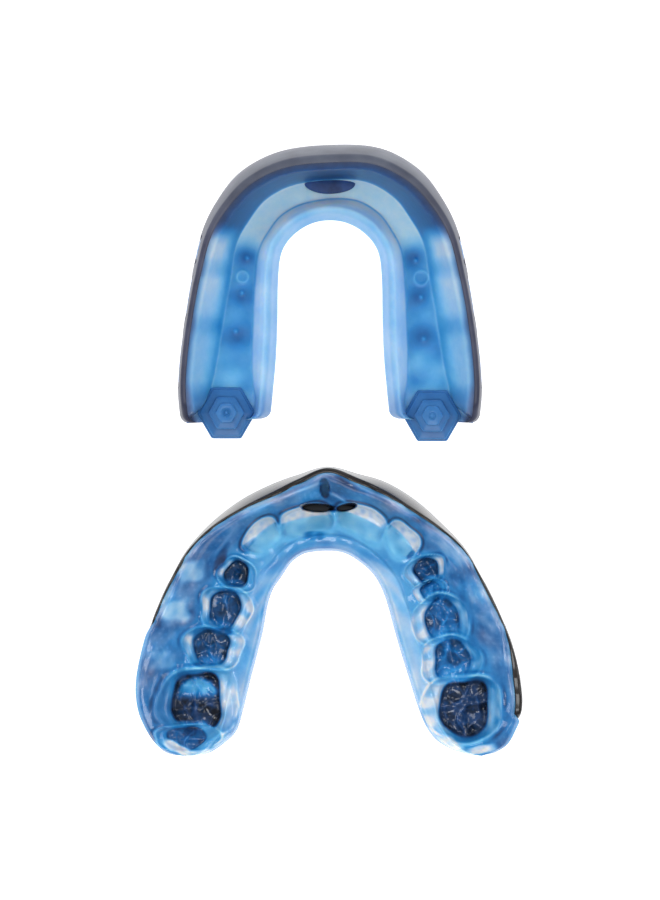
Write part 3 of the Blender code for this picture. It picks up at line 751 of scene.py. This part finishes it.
# Each tooth's socket: kind, centre, half length along the arch, half width across it, depth, how
# square its floor is, the light through its floor, and how pale its cheek and tongue sides are.
SOCKETS = (
    ("incisor", -4.3, -13.3, 4.75, 2.75, 2.5, 3.0, 0.79, 0, 0),
    ("incisor", 5.9, -13.4, 4.65, 2.75, 2.5, 3.0, 0.79, 0, 0),
    ("incisor", -12.5, -16.0, 3.5, 2.6, 2.3, 2.7, 0.80, 0, 0),
    ("incisor", 13.2, -16.7, 3.4, 2.7, 2.3, 2.7, 0.76, 0, 0),
    ("canine", -17.3, -23.0, 2.6, 2.3, 3.1, 2.2, 0.15, 1.0, 0.0),
    ("canine", 17.9, -22.3, 2.5, 2.4, 3.1, 2.2, 0.23, 1.0, 0.6),
    ("canine", 18.7, -26.1, 1.8, 2.0, 2.0, 2.2, 0.31, 0.2, 1.0),
    ("premolar", -19.5, -29.5, 3.8, 3.0, 3.1, 2.4, 0.22, 1.0, 1.0),
    ("premolar", -22.0, -36.6, 3.5, 3.5, 3.1, 2.6, 0.20, 0.9, 0.9),
    ("premolar", 20.8, -31.4, 4.0, 3.4, 3.1, 2.4, 0.34, 0.6, 1.0),
    ("premolar", 22.6, -38.9, 3.9, 3.5, 3.1, 2.6, 0.31, 0.6, 1.0),
    ("molar", -24.6, -46.7, 5.7, 4.8, 3.1, 3.0, 0.12, 0.2, 1.0),
    ("molar", 24.9, -47.8, 5.4, 4.8, 3.1, 3.0, 0.18, 0.6, 1.0),
    ("molar", -26.6, -53.3, 2.2, 3.9, 1.2, 2.2, 0.33, 0.1, 0.1),
)
# Pale or dark places in the gel: centre, half sizes, turn, strength, then light,
# smoke and cyan. The sixth, a long pale grey streak at the right front, is a painted reflection.
PATCHES = (
    (-25.9, -22.4, 2.6, 2.0, 0.2, 0.85, 0.82, 0.20, 0.3), (-28.7, -29.8, 2.6, 2.2, 0.1, 0.9, 0.86, 0.2, 0.4),
    (-30.8, -38.9, 2.4, 1.6, 0.0, 0.5, 0.80, 0.3, 0.2), (27.2, -24.5, 2.2, 3.0, 0.3, 0.35, 0.72, 0.3, 0.0),
    (30.2, -32.0, 2.0, 3.4, 0.2, 0.35, 0.70, 0.3, 0.0), (21.8, -18.0, 1.4, 4.8, 0.85, 0.6, 0.80, 0.4, 0.0),
    (-20.3, -20.2, 0.9, 2.9, -0.35, 0.8, 0.22, 0.4, 0.0), (-2.8, -15.8, 2.3, 0.8, 0.05, 0.8, 0.40, 0.0, 0.7),
    (14.9, -19.5, 1.0, 0.45, 0.9, 0.8, 0.28, 0.0, 0.6), (-15.6, -18.3, 0.9, 0.4, -0.7, 0.6, 0.42, 0.0, 0.8),
    (-19.7, -33.6, 1.7, 0.75, 0.1, 0.8, 0.27, 0.0, 0.6), (-15.2, -17.6, 1.8, 0.5, 0.7, 0.5, 0.45, 0.0, 0.7),
    (-24.6, -34.2, 0.8, 2.4, -0.1, 0.6, 0.36, 0.0, 0.6), (-27.6, -40.5, 0.8, 2.8, 0.1, 0.5, 0.38, 0.1, 0.5),
    (24.6, -27.2, 0.8, 2.6, 0.3, 0.6, 0.38, 0.0, 0.7), (26.8, -37.0, 0.9, 2.6, 0.2, 0.6, 0.38, 0.0, 0.7),
    (-18.3, -50.4, 1.6, 2.6, -0.3, 0.45, 0.5, 0.5, 0.0), (-31.0, -47.5, 1.6, 4.5, 0.0, 0.4, 0.42, 0.5, 0.0),
    (-28.4, -55.1, 2.9, 0.8, -0.5, 1, 0.96, 0.15, 0.1), (22.2, -54.1, 2.7, 0.95, -0.62, 1, 0.95, 0.15, 0.3),
    (28.0, -55.4, 2.7, 0.8, 0.22, 1.0, 0.96, 0.2, 0.1), (-24.2, -56.0, 2.2, 0.5, 0.15, 0.8, 0.92, 0.2, 0.1),
)
# The brim round a side tooth's socket: its size in the socket's, its shift and how square it is.
BRIM_LONG, BRIM_WIDE, BRIM_SHIFT, BRIM_SQUARE = 1.10, 1.5, 0.1, 2.4
# The part of the left molar's floor that light comes through: centre and half sizes.
LIT_MOLAR = (-24.6, -46.8, 5.3, 4.5)
# Slots over the breathing gap and the notch for the lip's frenum: centre, half sizes, turn, depth.
SLOTS = ((-2.35, -10.65, 3.0, 0.72, -0.04, 2.6), (3.1, -10.55, 1.9, 0.62, 0.22, 2.6))
NOTCH = (-1.0, -7.0, 0.95, 1.9, 0.12, 1.0)
# Ridges of gel pushed up beside the notch: centre, half length, half width, turn, height, light.
RIDGES = ((-5.4, -7.5, 4.4, 0.3, 0.36, 0.35, 0.80), (3.2, -6.2, 2.7, 0.5, -0.62, -0.2, 0.22),
          (1.4, -8.7, 1.9, 0.28, -0.5, 0.3, 0.74), (9.5, -8.6, 5.0, 0.35, -0.42, 0.25, 0.66),
          (-13.0, -10.8, 5.0, 0.35, 0.5, 0.25, 0.66), (-19.0, -16.5, 3.6, 0.35, 0.95, 0.25, 0.62))


def profile(across, knots, heights):
    """A smooth curve through each station's knots that never overshoots them: cubic pieces, level at
    a peak or a dip, and elsewhere with the harmonic mean of the two chords' slopes."""
    knots = np.maximum.accumulate(np.stack(knots, axis=1), axis=1) + 0.004 * np.arange(len(knots))
    heights = np.stack(heights, axis=1)
    chord = np.diff(heights, axis=1) / np.diff(knots, axis=1)
    agree = chord[:, :-1] * chord[:, 1:] > 0
    total = np.where(agree, chord[:, :-1] + chord[:, 1:], 1)
    inside = np.where(agree, 2 * chord[:, :-1] * chord[:, 1:] / total, 0)
    slope = np.concatenate([chord[:, :1], inside, chord[:, -1:]], axis=1)
    out = np.broadcast_to(heights[:, :1], across.shape).copy()
    for k in range(knots.shape[1] - 1):
        h = (knots[:, k + 1] - knots[:, k])[:, None]
        t = np.clip((across - knots[:, k][:, None]) / h, 0, 1)
        a, b = heights[:, k][:, None], heights[:, k + 1][:, None]
        m, n = slope[:, k][:, None] * h, slope[:, k + 1][:, None] * h
        curve = (2 * t**3 - 3 * t**2 + 1) * a + (t**3 - 2 * t**2 + t) * m
        curve += (3 * t**2 - 2 * t**3) * b + (t**3 - t**2) * n
        out = np.where(t > 0, curve, out)
    return out


def turned(x, y, cx, cy, rx, ry, turn):
    """A place's own coordinates: distance from its centre along its turned axes, in half sizes."""
    u = ((x - cx) * math.cos(turn) + (y - cy) * math.sin(turn)) / rx
    v = ((y - cy) * math.cos(turn) - (x - cx) * math.sin(turn)) / ry
    return u, v


def tooth_grid(x, y, stations, cx, cy, half_long, half_wide):
    """A tooth's own coordinates over the guard: along the arch, and towards the tongue."""
    near = np.argmin(np.hypot(*(middle_line(stations) - (cx, cy)).T))
    tongue = inwards(stations)[near]
    p = ((x - cx) * tongue[1] - (y - cy) * tongue[0]) / half_long
    q = ((x - cx) * tongue[0] + (y - cy) * tongue[1]) / half_wide
    return p, q


def rounded_square(p, q, square, lobes):
    """A radius that is 1 on a rounded square, made uneven by three and five lobes."""
    turn = np.arctan2(q, p)
    uneven = 1 + 0.05 * np.cos(3 * turn + lobes[0]) + 0.035 * np.cos(5 * turn + lobes[1])
    return (abs(p) ** square + abs(q) ** square) ** (1 / square) * uneven


def creases(x, y, size, seed, width):
    """Thin curling lines: a bell of random relief where it passes through zero."""
    return hump(ripples(x, y, size, seed), width)


def lay(skin, mask, **targets):
    """Lay target values over the skin's fields, as much as a mask says."""
    for field, target in targets.items():
        skin[field] = towards(skin[field], mask, target)


def press_incisor(skin, p, q, r, depth, light):
    """A front tooth's mark: a steep step on the lip side, painted pale as a reflection of white light
    and as light through the gel, a cyan floor that rises to the tongue side, a painted highlight
    line along the step's edge and a painted shade line outside it."""
    x, y = skin["x"], skin["y"]
    lip = smooth(0.35, -0.1, q)
    skin["high"] += 0.35 * hump(r - 1.14, 0.1) * lip
    skin["high"] -= depth * smooth(1.08, 0.84, r) * (1 - 0.95 * smooth(-0.3, 0.95, q))
    lay(skin, smooth(1.6, 1.1, r) * smooth(0.2, -0.3, q), clarity=0.40, smoke=0.1, cyan=0.3)
    lay(skin, smooth(1.4, 1.1, r) * smooth(-0.2, 0.3, q), clarity=0.68, smoke=0.0, cyan=0.8)
    lay(skin, smooth(1.10, 0.80, r), clarity=light + 0.05 * ripples(x, y, 2.6, 71), cyan=0.9)
    # The step is painted pale grey-white: painted reflection of white light, and light through the gel.
    step = smooth(-0.22, -0.40, q - 0.16 * p**2) * smooth(1.08, 0.98, r)
    lay(skin, step, clarity=0.96 + 0.05 * ripples(x, y, 1.6, 72), smoke=0.55, cyan=0.1)
    # Painted highlight line along the step's edge, and painted shade line just outside it.
    skin["clarity"] += 0.3 * hump(r - 1.05, 0.045) * lip
    skin["clarity"] -= 0.22 * hump(r - 1.2, 0.07) * lip


def press_molar(skin, kind, p, q, r, brim, socket, seed):
    """A side tooth's mark: a raised rim with a painted highlight line on it and, on the cheek side, a
    painted shade line outside it, sides that are pale where the gel is thin, and a floor of navy gel
    on the pad with the ridges and creases of the tooth's cusps, the creases drawn in painted
    highlight strokes with a painted grey sheen on molars."""
    *_, depth, _, light, cheek, tongue = socket
    x, y = skin["x"], skin["y"]
    uneven = 0.7 + 0.5 * ripples(x, y, 5.0, seed + 3)
    skin["high"] += 0.30 * uneven * hump(brim - 1.08, 0.09)
    skin["high"] -= depth * (0.7 * smooth(1.10, 0.80, r) + 0.3 * smooth(1.08, 0.85, brim))
    crease_highlight, crease_sheen_grey, green = 0.15, 0.0, 0.55
    if kind == "molar":
        crease_highlight, crease_sheen_grey, green = 0.10, 0.30, 0.1
        ridges = hump(q + 0.12 * np.sin(5 * p), 0.15) + hump(p - 0.15 + 0.15 * q, 0.13)
        ridges = ridges + 0.6 * hump(p + 0.5 - 0.2 * q, 0.12)
    elif kind == "premolar":
        ridges = hump(q - 0.1 * np.sin(3 * p), 0.2) + 0.4 * hump(p - 0.2 * q, 0.16)
    else:
        ridges = 1.3 * np.exp(-((p**2 + q**2) / 0.05))
    curl = creases(x, y, 4.6, seed + 40, 0.22)
    fine = creases(x, y, 2.6, seed + 80, 0.25)
    cusps = 0.42 * ridges + 0.16 * curl + 0.20 * ripples(x, y, 3.2, seed) + 0.03 * fine
    skin["high"] += smooth(0.98, 0.78, r) * cusps
    halo = smooth(1.55, 1.1, brim)
    lay(skin, 0.75 * halo * smooth(0.5, -0.2, q), clarity=0.44, smoke=0.0, cyan=0.5)
    between = 0.6 * halo * smooth(0.8, 1.0, abs(p)) * smooth(1.3, 0.7, abs(q))
    lay(skin, between, clarity=0.62, smoke=0.0, cyan=0.9)
    side = smooth(1.04, 0.97, brim)
    lay(skin, side, clarity=0.42 + 0.16 * smooth(-0.2, 0.8, q), smoke=0.0, cyan=0.6)
    blotch = 0.75 + 0.35 * ripples(x, y, 3.0, seed + 7)
    pale = tongue * smooth(0.25, 0.7, q) * smooth(1.05, 0.5, abs(p))
    pale = pale + cheek * smooth(-0.35, -0.7, q) * smooth(1.0, 0.4, abs(p))
    lay(skin, side * np.clip(1.15 * pale * blotch, 0, 1), clarity=0.96, smoke=0.35, cyan=0.1)
    blot = smooth(0.1, 0.7, ripples(x, y, 3.6, seed + 9))
    # Painted highlights: lighter strokes along the floor's creases, with a grey sheen on molars.
    mark = crease_highlight * curl * (0.4 + 0.6 * ridges) + 0.05 * fine - 0.10 * blot
    lay(skin, smooth(1.00, 0.88, r), clarity=light - 0.08 * smooth(0.5, 0.95, r) + mark,
        smoke=crease_sheen_grey * (0.2 + 0.8 * curl), cyan=green)
    # Painted highlight line on the brim, and painted shade line outside it on the cheek side.
    skin["clarity"] += 0.30 * np.clip(uneven, 0, 1) * hump(brim - 1.04, 0.04)
    skin["clarity"] -= 0.18 * np.clip(uneven, 0, 1) * hump(brim - 1.17, 0.06) * smooth(0.6, 0.0, q)


wide, rim, lean, wall, floor_out, floor_in, crest = columns(fitted)
first = (lean + wall - 0.12) * (1 - rolled) - 0.10 * rolled
last = wide - np.minimum(0.5, 0.15 * wide)
share = np.linspace(0, 1, TOP_POINTS)[None]
top_across = first[:, None] + share * (last - first)[:, None]
top_x = fitted[:, :1] + top_across * inwards(fitted)[:, :1]
top_y = fitted[:, 1:2] + top_across * inwards(fitted)[:, 1:]
run = length_along(middle_line(fitted))[:, None] + 0 * top_x

# The bitten gel's section: a lip inside the frame's rim, a slope down to the teeth, a level band
# that the teeth stand in, and the low tongue-side wall.
edge = np.minimum(0.9, 0.12 * wide)
level = np.where(wide < 9, np.minimum(GEL_LEVEL, rim - 1.5), GEL_LEVEL)
tongue_top = np.minimum(crest, level + 0.7)
crest_at = last - 0.12 * wide
inner = np.minimum(floor_in, crest_at - 1.0)
knots = (
    first, first + edge, 0.45 * first + 0.55 * floor_out, floor_out - 0.06 * wide, floor_out,
    0.5 * (floor_out + inner), inner, 0.4 * inner + 0.6 * crest_at, crest_at, last - 0.04 * wide, last,
)
heights = (
    rim - 0.35 - 0.7 * rolled, rim + 0.1, 0.35 * rim + 0.65 * (level + 1.4), level + 0.9, level + 0.2,
    level, level + 0.3, level + 0.75, tongue_top, tongue_top - 0.5, tongue_top - 1.3,
)
outer_band = smooth(0.0, 0.9, top_across - first[:, None])
outer_band = outer_band * smooth(0.2, -1.6, top_across - floor_out[:, None])
tongue_band = smooth(-0.4, 1.2, top_across - floor_in[:, None])
along_outer = ripples(run * 0.35, top_across, 2.6, 41)
along_tongue = ripples(run * 0.22, top_across, 2.4, 45)
skin = {"x": top_x, "y": top_y, "high": profile(top_across, knots, heights)}
skin["high"] += outer_band * (0.20 * ripples(top_x, top_y, 6.5, 41) + 0.10 * along_outer)
skin["high"] += (1 - outer_band) * (1 - tongue_band) * 0.10 * ripples(top_x, top_y, 3.2, 43)
skin["high"] += tongue_band * (0.06 * along_tongue + 0.04 * ripples(top_x, top_y, 4.0, 44))

# Light through the gel before the teeth are pressed in.
wave, streak = ripples(top_x, top_y, 8.0, 51), ripples(run * 0.5, top_across, 1.5, 52)
speck = np.clip(ripples(top_x, top_y, 0.9, 56), 0, 1)
skin["clarity"] = 0.58 + 0.05 * wave
skin["smoke"] = 0.1 + 0 * top_x
skin["cyan"] = 0.6 + 0 * top_x
outer_light = 0.45 + 0.04 * smooth(10.0, 25.0, top_x) + 0.10 * wave + 0.06 * streak + 0.06 * speck**2
outer_smoke = np.clip(0.38 + 0.3 * ripples(top_x, top_y, 7.0, 53) + 0.12 * streak, 0, 1)
lay(skin, outer_band, clarity=outer_light, smoke=outer_smoke, cyan=0.1)
tongue_light = 0.75 + 0.06 * np.tanh(top_x / 4) - 0.20 * smooth(-24.0, -19.5, top_y)
tongue_light = tongue_light + 0.05 * along_tongue + 0.03 * ripples(top_x, top_y, 5.0, 54)
tongue_smoke = np.clip(0.18 + 0.15 * along_tongue, 0, 1)
lay(skin, tongue_band, clarity=tongue_light, smoke=tongue_smoke, cyan=0.12)

for number, socket in enumerate(SOCKETS):
    kind, cx, cy, half_long, half_wide, depth, square, light, *_ = socket
    p, q = tooth_grid(top_x, top_y, fitted, cx, cy, half_long, half_wide)
    lobes = np.random.default_rng(60 + number).uniform(0, 2 * np.pi, 2)
    r = rounded_square(p, q, square, lobes)
    if kind == "incisor":
        press_incisor(skin, p, q, r, depth, light)
    else:
        brim = rounded_square(p / BRIM_LONG, (q - BRIM_SHIFT) / BRIM_WIDE, BRIM_SQUARE, lobes)
        press_molar(skin, kind, p, q, r, brim, socket, 100 + number)
p, q = tooth_grid(top_x, top_y, fitted, *LIT_MOLAR)
lit = 0.95 * smooth(1.0, 0.75, np.hypot(p, q)) * smooth(0.0, -0.45, p)
lay(skin, lit, clarity=0.62 + 0.1 * streak, cyan=0.9, smoke=0.0)

for cx, cy, rx, ry, turn, strength, light, smoke, cyan in PATCHES:
    u, v = turned(top_x, top_y, cx, cy, rx, ry, turn)
    r = (u**4 + v**4) ** 0.25 + 0.14 * ripples(top_x, top_y, 3.0, 57)
    lay(skin, strength * smooth(1.3, 0.6, r), clarity=light + 0.06 * streak, smoke=smoke, cyan=cyan)
for cx, cy, rx, ry, turn, deep in (*SLOTS, NOTCH):
    u, v = turned(top_x, top_y, cx, cy, rx, ry, turn)
    r = np.sqrt(u**2 + v**2)
    skin["high"] -= deep * smooth(1.3, 0.7, r)
    light, smoke = (0.0, 0.6) if deep > 2 else (0.14, 0.0)
    lay(skin, smooth(1.15, 0.9, r), clarity=light, smoke=smoke, cyan=0.0)
for cx, cy, rx, ry, turn, high, light in RIDGES:
    u, v = turned(top_x, top_y, cx, cy, rx, ry, turn)
    line = hump(v, 1) * smooth(1.2, 0.5, abs(u))
    skin["high"] += high * line
    lay(skin, 0.8 * line, clarity=light)

# Painted highlights: a pale grey line on the gel's lip along the frame, and a pale line on its
# skin along the inner edge.
rim_highlight = hump(top_across - first[:, None] - 0.6, 0.55) * (1 - rolled[:, None])
inner_edge_highlight = hump(wide[:, None] - top_across - 1.1, 0.25)
skin["clarity"] += 0.16 * rim_highlight * (0.6 + 0.6 * wave) + 0.08 * inner_edge_highlight
skin["smoke"] += 0.35 * rim_highlight

# The liner's hidden sides, from the inner edge down, under, and up the frame's wall.
clear = np.maximum(wall - CLEAR, 0.05) + 0.4 * rolled
narrow = np.minimum(1.0, wide / 9)
corners = stacked([
    (top_across[:, -1], skin["high"][:, -1]), (wide, 4.6), (wide - 0.7 * narrow, LINER_LOW),
    (clear + 1.6 * narrow, LINER_LOW), (clear, np.minimum(5.2, 0.5 * rim)),
    (0.15 * lean + clear, 0.62 * rim), (0.6 * lean + clear, 0.80 * rim),
    ((lean + clear) * (1 - rolled) - 0.1 * rolled, rim - 0.9 - 1.1 * rolled),
    (top_across[:, 0], skin["high"][:, 0]),
])
steps = np.linspace(0, 1, LEG_STEPS, endpoint=False)[None, None, :, None]
legs = corners[:, :-1, None] + steps * np.diff(corners, axis=1)[:, :, None]
legs = legs.reshape(len(wide), -1, 2)[:, 1:]
ring = np.concatenate([np.stack([top_across, skin["high"]], axis=2), legs], axis=1)
fields = {
    field: np.concatenate([skin[field], np.full(legs.shape[:2], value)], axis=1)
    for field, value in (("clarity", 0.6), ("smoke", 0.18), ("cyan", 0.18))
}
fitted_liner = skinned("fitted_liner_gel", placed(fitted, ring), **fields)
gloss_gel = gel("EVA gel, boiled and bitten, glossy", roughness=0.20, coat=0.38, coat_roughness=0.06,
                grain_mm=0.7, grain_high_mm=0.006, mottle=0.14, through=0.3, through_mm=1.0)
dressed(fitted_liner, gloss_gel, "fitted_guard", "glossy_blue_gel", "fitted_gel_liner")


# --- Front insert of the fitted guard, and the pads' places --------------------------------------
# The insert under the slot: the bite has squeezed the gel off it, so it shows black. The pads go on
# last, pressed up through the frame's base.

insert_x, insert_y = middle_of(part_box("fitted_front_insert"))
fitted_insert = lens("fitted_breathing_insert", insert_x, insert_y + 0.25, half_long=4.7, rise=0.75,
                     drop=0.75, low=3.4, high=4.9, dome=0.1)
black_rubber = dark_rubber("insert rubber, bare and wet-look", ((0.35, "05060A"), (0.65, "0C0F18")),
                           roughness=0.6, grain=(0.5, 0.01))
dressed(fitted_insert, black_rubber, "fitted_guard", "dark_insert_rubber", "fitted_front_insert")

PAD_SPANS = (("stock", stock_rows, (0.4, 0.9)), ("fitted", fitted_rows[2:-2], (0.5, 0.87)))
for guard, rows, pad_span in PAD_SPANS:
    for word, side in (("left", -1), ("right", 1)):
        pad = bite_pad(f"{guard}_pad_{word}", rows, side, pad_span)
        dressed(pad, pad_rubber, f"{guard}_guard", "pad_rubber", f"{guard}_bite_pad_{word}")


# --- Table, light and camera ---------------------------------------------------------------------
# A white opal table lit from below, a large soft box high overhead, three low ones at the sides and
# the front, and a long lens straight overhead.

def white_table():
    """Opal acrylic with light behind it: matt white that glows evenly."""
    return finish("opal acrylic, lit from below", {
        "Base Color": linear("F4F4F4"), "Roughness": 0.6, "Emission Color": linear("FFFFFF"),
        "Emission Strength": 0.75})[0]


TABLE_HALF, TABLE_DROP = 1.5, 0.0002
table_mesh = bpy.data.meshes.new("table")
corners = [(x * TABLE_HALF, y * TABLE_HALF, -TABLE_DROP) for x, y in ((-1, -1), (1, -1), (1, 1), (-1, 1))]
table_mesh.from_pydata(corners, [], [(0, 1, 2, 3)])
table = bpy.data.objects.new("table", table_mesh)
bpy.context.scene.collection.objects.link(table)
table_mesh.materials.append(white_table())


def soft_box(name, place, size, power):
    """A square soft box at a place, turned to face the middle of the table."""
    light = bpy.data.lights.new(name, "AREA")
    light.shape, light.size, light.energy = "SQUARE", size, power
    thing = bpy.data.objects.new(name, light)
    thing.location = place
    direction = -np.array(place)
    turn = math.atan2(direction[1], direction[0])
    tilt = math.acos(-direction[2] / np.linalg.norm(direction))
    thing.rotation_euler = (tilt, 0.0, turn - math.pi / 2)
    bpy.context.scene.collection.objects.link(thing)


soft_box("top_box", (0.05, -0.42, 1.25), size=0.5, power=6.0)
soft_box("left_box", (-0.55, 0.15, 0.55), size=0.35, power=1.8)
soft_box("right_box", (0.6, 0.05, 0.5), size=0.35, power=1.2)
soft_box("front_box", (0.1, 0.65, 0.5), size=0.3, power=1.0)
world = bpy.data.worlds.new("studio")
bpy.context.scene.world = world
world.use_nodes = True
sky = world.node_tree.nodes["Background"]
sky.inputs["Color"].default_value = linear("F2F5FA")
sky.inputs["Strength"].default_value = 0.4

LENS_HEIGHT, GUARD_MIDDLE, SEEN_TALL, SENSOR = 1.6, 0.008, 0.1665, 36.0
camera = bpy.data.cameras.new("camera")
camera.sensor_width = SENSOR
camera.lens = SENSOR * (LENS_HEIGHT - GUARD_MIDDLE) / SEEN_TALL
camera.clip_end = 10.0
eye = bpy.data.objects.new("camera", camera)
eye.location = (0.0, 0.0, LENS_HEIGHT)
bpy.context.scene.collection.objects.link(eye)
bpy.context.scene.camera = eye
bpy.context.scene.view_settings.view_transform = "Standard"
